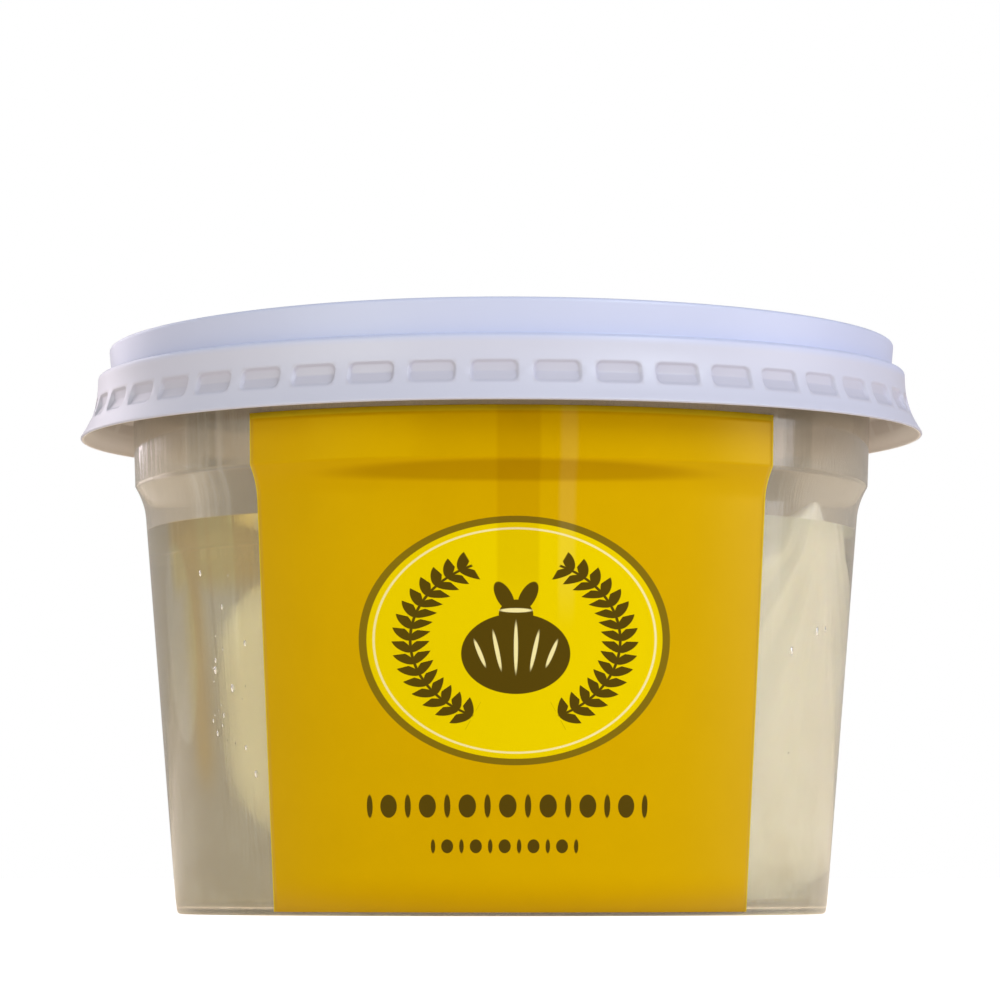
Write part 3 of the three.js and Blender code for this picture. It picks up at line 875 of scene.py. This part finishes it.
# Painted shade: a soft lens over the shoulder, where the film faces down.
SHOULDER_SHADE = (0.5, 57.6, 29.0, 1.7)
SHOULDER_SHADE_TINT = (0.70, 0.62, 0.6, 1)
WREATH = (13.6, 10.6, 16, math.radians(66))
LARGE_BEADS = (-0.9, 14.25, 5.3, 7, (1.15, 1.5), (0.42, 1.5))
SMALL_BEADS = (-1.3, 9.05, 3.8, 5, (0.8, 0.9), (0.3, 0.9))
BACK_PANEL = (-40, -6, 12, 50)
BACK_RULES = (-38, -8, 14, 48)
RULE_PITCH = 4.0
BACK_OVAL = (18.0, 34.0, 14.0, 11.0)


def label_mesh(name, span):
    """A thin sheet that follows the wall between two angles and fans out a little at each end
    down to its foot, as film cut straight does on a tapered wall. Each row is a closed loop up
    its outside and down its inside, and the first and last rows are pressed flat to shut its ends.
    U is the way round at the print's radius and V the height, both in mm."""
    start, end = span
    middle = (start + end) / 2
    steps = int(round((end - start) / LABEL_STEP))
    angles = np.radians(np.concatenate([[start], np.linspace(start + 0.12, end - 0.12, steps), [end]]))
    up = wall_points(LABEL_LOW_Z, LABEL_TOP_Z, 0)
    loop = np.concatenate([up, up[::-1]])
    outside = np.arange(len(loop)) < len(up)
    thick = np.full(len(angles), LABEL_THICK)
    thick[[0, -1]] = 0
    offset = np.where(outside, thick[:, None], 0) - LABEL_SUNK
    radius = loop[:, 0] + offset
    way_down = 1 - loop[:, 1] / LABEL_TOP_Z
    across = np.degrees(angles)[:, None] - middle
    fanned = np.radians(middle + across * (1 + 2 * LABEL_FAN * way_down / (end - start)))
    points = around(radius, fanned, loop[:, 1])
    heights = np.append(loop[:, 1], loop[0, 1])
    uv = np.stack(np.broadcast_arrays(np.radians(across) * PRINT_R, heights), axis=-1)
    mesh = mesh_of_grid(name, points[::-1], uv[::-1])
    shape = bmesh.new()
    shape.from_mesh(mesh)
    bmesh.ops.remove_doubles(shape, verts=shape.verts, dist=1e-4 * MM)
    for face in shape.faces:
        middle_of = face.calc_center_median()
        away = math.hypot(middle_of.x, middle_of.y) / MM - float(tub_radius(middle_of.z / MM))
        face.material_index = int(away < LABEL_THICK / 2 - LABEL_SUNK)
    shape.to_mesh(mesh)
    shape.free()
    return mesh


def box_of(tree, x, y, left, right, low, high):
    """A printed rectangle."""
    return product_of(tree, within(tree, x, left, right), within(tree, y, low, high))


def bordered(tree, colour, depth, inks):
    """Lays inks over a colour, each from its own depth inside an oval on."""
    for inset, ink in inks:
        colour = blend_of(tree, ramp_of(tree, depth, inset - 0.05, inset + 0.05), colour, ink)
    return colour


def wreath_of(tree, x, y, wide, high, leaves, span):
    """A wreath open at its top and bottom. A point's place on it is its angle and its distance from
    the oval of the stem, both in mm. The angle is folded onto one leaf, the distance onto one side
    of the stem, and the leaf is an oval leaning away from it."""
    right = math_of(tree, "DIVIDE", math_of(tree, "ABSOLUTE", x), wide)
    up = math_of(tree, "DIVIDE", y, high)
    angle = math_of(tree, "ARCTAN2", up, right)
    mean = (wide + high) / 2
    pitch = 2 * span / leaves
    folded = math_of(tree, "SUBTRACT", math_of(tree, "FLOORED_MODULO", angle, pitch), pitch / 2)
    along = product_of(tree, folded, mean)
    place_of = out(node(tree, "CombineXYZ", right, up, 0.0))
    reach = node(tree, "VectorMath", place_of, operation="LENGTH").outputs["Value"]
    away = math_of(tree, "ABSOLUTE", product_of(tree, math_of(tree, "SUBTRACT", reach, 1.0), mean))
    spot = out(node(tree, "CombineXYZ", along, away, 0.0))
    leaf = oval_of(tree, spot, 0.3, 1.05, 1.55, 0.62, -0.85)
    stem = ramp_of(tree, away, 0.12, 0.24, 1.0, 0.0)
    kept = ramp_of(tree, math_of(tree, "ABSOLUTE", angle), span - 0.01, span + 0.01, 1.0, 0.0)
    return product_of(tree, most_of(tree, [leaf, stem]), kept)


def beads_of(tree, x, y, centre, height, pitch, beads, bead, reel):
    """A row of beads and reels: X is folded onto one pitch, with a bead in its middle and a thin
    reel at its ends, each given as its half width and half height."""
    from_start = math_of(tree, "SUBTRACT", x, centre - pitch * beads / 2)
    folded = math_of(tree, "SUBTRACT", math_of(tree, "FLOORED_MODULO", from_start, pitch), pitch / 2)
    spot = out(node(tree, "CombineXYZ", folded, y, 0.0))
    row = [oval_of(tree, spot, 0.0, height, *bead)]
    row += [oval_of(tree, spot, side * pitch / 2, height, *reel) for side in (-1, 1)]
    half = pitch * beads / 2 + reel[0]
    return product_of(tree, most_of(tree, row), within(tree, x, centre - half, centre + half))


def film_surface(tree, place_of, colour):
    """Glossy printed film over the wall: its gloss is broken by fine drag lines and soft dents."""
    lines = out(use(tree, drag_lines, Place=place_of, Lines_per_mm=0.9, Length_mm=80.0, Share=0.4))
    dents = out(use(tree, mottle, Size_mm=16.0, Contrast=1.0))
    rough = math_of(tree, "MULTIPLY_ADD", lines, 0.03, 0.24)
    bump = node(tree, "Bump", Strength=0.3, Distance=0.1 * MM, Height=dents)
    surface = node(
        tree, "BsdfPrincipled", Base_Color=colour, Roughness=rough, IOR=1.45,
        Specular_Tint=GLOSS_TINT, Normal=out(bump),
    )
    node(tree, "OutputMaterial", Surface=out(surface))


def yellow_ink(tree):
    """The film's ground: golden yellow ink, a little uneven."""
    return mottled(tree, 7.0, 1.4, tuple(0.95 * c for c in YELLOW[:3]) + (1,), YELLOW)


def front_film():
    """The front print: a bright oval with a double border, a wreath round a small tied pouch, and
    two rows of beads and reels below it. The film is brighter along the cut at its sides. It also
    carries painted light and shade: an olive strip along its top edge for the shade under the lid's
    lip, painted shade in a soft lens on the shoulder, and painted reflections in two upright bands,
    a dark one and a faint pale one."""
    material, tree = new_material("front label print")
    place_of = node(tree, "UVMap", uv_map="UVMap").outputs["UV"]
    parts = node(tree, "SeparateXYZ", place_of)
    colour = yellow_ink(tree)
    side = math_of(tree, "ABSOLUTE", parts.outputs["X"])
    half_span = math.radians(FRONT_LABEL[1] - FRONT_LABEL[0]) / 2 * PRINT_R
    colour = blend_of(tree, ramp_of(tree, side, half_span - 0.35, half_span - 0.2), colour, BRIGHT_YELLOW)
    # Painted light and shade: an olive strip along the top edge, under the lid's lip.
    top = ramp_of(tree, parts.outputs["Y"], LABEL_TOP_Z - 0.85, LABEL_TOP_Z - 0.7)
    colour = blend_of(tree, top, colour, PAINTED_LIP_SHADE_STRIP)

    depth = oval_of(tree, place_of, OVAL_X, OVAL_Y, OVAL_HALF_WIDTH, OVAL_HALF_HEIGHT, output="Depth mm")
    inks = [(0.0, OLIVE), (0.85, BRIGHT_YELLOW), (1.5, CREAM), (1.75, BRIGHT_YELLOW)]
    colour = bordered(tree, colour, depth, inks)

    # Painted reflections: a dark upright band and a faint pale one over the upper film.
    upper = ramp_of(tree, parts.outputs["Y"], *BANDS_UP)
    dark = product_of(tree, within(tree, parts.outputs["X"], *DARK_REFLECTION_BAND, 0.3), upper)
    colour = blend_of(tree, dark, colour, DARK_REFLECTION_BAND_TINT, "MULTIPLY")
    pale = product_of(tree, within(tree, parts.outputs["X"], *PALE_REFLECTION_BAND, 0.4), upper)
    colour = blend_of(tree, product_of(tree, pale, 0.02), colour, (1, 1, 1, 1))
    # Painted shade: a soft lens over the shoulder.
    lens = oval_of(tree, place_of, *SHOULDER_SHADE, output="Depth mm")
    shade = product_of(tree, ramp_of(tree, lens, 0.0, 0.7), 0.8)
    colour = blend_of(tree, shade, colour, SHOULDER_SHADE_TINT, "MULTIPLY")

    x = math_of(tree, "SUBTRACT", parts.outputs["X"], OVAL_X)
    y = math_of(tree, "SUBTRACT", parts.outputs["Y"], OVAL_Y)
    wreath = wreath_of(tree, x, y, *WREATH)
    mirrored = out(node(tree, "CombineXYZ", math_of(tree, "ABSOLUTE", x), y, 0.0))
    pouch = [
        oval_of(tree, mirrored, 0.0, -1.7, 7.0, 5.2),
        oval_of(tree, mirrored, 0.0, 3.3, 2.2, 2.0),
        oval_of(tree, mirrored, 1.5, 5.7, 1.0, 2.1, 0.5),
    ]
    colour = blend_of(tree, most_of(tree, [wreath, *pouch]), colour, BROWN)
    folds = [
        oval_of(tree, mirrored, away, -0.9 - away * 0.16, 0.26, 3.2 - 0.3 * away, away * 0.085)
        for away in (0.0, 2.4, 4.6)
    ]
    folds.append(oval_of(tree, mirrored, 0.0, 3.9, 2.0, 0.28))
    colour = blend_of(tree, most_of(tree, folds), colour, CREAM)

    x, y = parts.outputs["X"], parts.outputs["Y"]
    rows = [beads_of(tree, x, y, *beads) for beads in (LARGE_BEADS, SMALL_BEADS)]
    colour = blend_of(tree, most_of(tree, rows), colour, BROWN)
    film_surface(tree, place_of, colour)
    return material


def back_film():
    """The back print: a pale panel with rules across it, beside a small oval like the front's."""
    material, tree = new_material("back label print")
    place_of = node(tree, "UVMap", uv_map="UVMap").outputs["UV"]
    parts = node(tree, "SeparateXYZ", place_of)
    x, y = parts.outputs["X"], parts.outputs["Y"]
    colour = yellow_ink(tree)
    colour = blend_of(tree, box_of(tree, x, y, *BACK_PANEL), colour, CREAM)
    row = math_of(tree, "FLOORED_MODULO", y, RULE_PITCH)
    rules = product_of(tree, box_of(tree, x, y, *BACK_RULES), within(tree, row, 1.0, 1.5))
    colour = blend_of(tree, rules, colour, BROWN)
    depth = oval_of(tree, place_of, *BACK_OVAL, output="Depth mm")
    colour = bordered(tree, colour, depth, [(0.0, OLIVE), (0.7, BRIGHT_YELLOW)])
    film_surface(tree, place_of, colour)
    return material


def film_underside():
    """The stuck side of the film, seen through the wall: dull tan, with faint patches."""
    material, tree = new_material("film underside")
    colour = mottled(tree, 11.0, 1.4, UNDERSIDE_DARK, UNDERSIDE_TAN)
    surface = node(tree, "BsdfPrincipled", Base_Color=colour, Roughness=0.5, IOR=1.45)
    node(tree, "OutputMaterial", Surface=out(surface))
    return material


underside = film_underside()
place(
    "label_front_film", label_mesh("label_front_film", FRONT_LABEL), "label_film", "label_front",
    front_film(), underside,
)
place(
    "label_back_film", label_mesh("label_back_film", BACK_LABEL), "label_film_back", "label_back",
    back_film(), underside,
)

# ---------------------------------------------------------------------------- Studio
# A plain pale table and a plain studio. The room in front of the pack is bright and the room behind
# it is dim, so that the clear parts look solid. The camera sees room and table washed out to white.
FLOOR_HALF = 30.0
ROOM_SEEN = (1, 1, 1, 1)
ROOM_BEHIND = (0.46, 0.42, 0.385, 1)
ROOM_IN_FRONT = (1.16, 1.15, 1.0, 1)
ROOM_ABOVE = (0.36, 0.36, 0.34, 1)
TABLE_GLOW = (0.40, 0.335, 0.275, 1)
TABLE_SEEN = (0.45, 0.52, 0.62, 1)
TABLE_DULL = (0.60, 0.54, 0.45, 1)
TABLE_PALE = (0.64, 0.57, 0.48, 1)
LAMP_AIM_Z = 0.04


def pale_table():
    """A pale matt table top that gives off a little light, as one lit from far and wide does. To the
    camera it is washed out."""
    material, tree = new_material("pale table")
    colour = mottled(tree, 90.0, 0.6, TABLE_DULL, TABLE_PALE)
    surface = node(
        tree, "BsdfPrincipled", Base_Color=colour, Roughness=0.8, Specular_IOR_Level=0.2,
        Emission_Color=TABLE_GLOW, Emission_Strength=1.0,
    )
    by_camera = node(tree, "LightPath").outputs["Is Camera Ray"]
    glow = node(tree, "Emission", Color=TABLE_SEEN, Strength=by_camera)
    both = node(tree, "AddShader", out(surface), out(glow))
    node(tree, "OutputMaterial", Surface=out(both))
    return material


table_mesh = bpy.data.meshes.new("table")
ends = np.array([(-1, -1), (1, -1), (1, 1), (-1, 1)]) * FLOOR_HALF
table_mesh.from_pydata([(x, y, 0) for x, y in ends], [], [(0, 1, 2, 3)])
table_mesh.materials.append(pale_table())
table = bpy.data.objects.new("table", table_mesh)
scene.collection.objects.link(table)


def soft_lamp(name, place_of, side, power, colour):
    """A square soft box in metres and watts that faces the middle of the pack."""
    lamp = bpy.data.objects.new(name, bpy.data.lights.new(name, "AREA"))
    lamp.data.size = side
    lamp.data.energy = power
    lamp.data.color = colour
    lamp.location = place_of
    way = lamp.location.copy()
    way.z -= LAMP_AIM_Z
    lamp.rotation_euler = way.to_track_quat("Z", "Y").to_euler()
    scene.collection.objects.link(lamp)


soft_lamp("key lamp", (0.75, -0.85, 0.75), 0.7, 7.6, (0.88, 0.98, 1.06))
soft_lamp("fill lamp", (-1.0, -1.1, 0.3), 0.9, 5.8, (0.94, 1.0, 0.88))
soft_lamp("side lamp", (1.3, -0.1, 0.3), 0.7, 3.0, (1.0, 1.0, 1.1))
soft_lamp("back lamp", (-0.8, 1.0, 0.5), 0.7, 3.5, (1.1, 1.0, 1.1))

world = bpy.data.worlds.new("room")
world.use_nodes = True
scene.world = world
tree = world.node_tree
tree.nodes.clear()
way = node(tree, "SeparateXYZ", node(tree, "TexCoord").outputs["Generated"])
room = blend_of(tree, ramp_of(tree, way.outputs["Y"], -0.2, 0.2), ROOM_IN_FRONT, ROOM_BEHIND)
room = blend_of(tree, ramp_of(tree, way.outputs["Z"], 0.2, 0.6), room, ROOM_ABOVE)
seen = node(tree, "Background", Color=ROOM_SEEN, Strength=1.0)
lighting = node(tree, "Background", Color=room, Strength=1.0)
by_camera = node(tree, "LightPath").outputs["Is Camera Ray"]
mixed = node(tree, "MixShader", by_camera, out(lighting), out(seen))
node(tree, "OutputWorld", Surface=out(mixed))
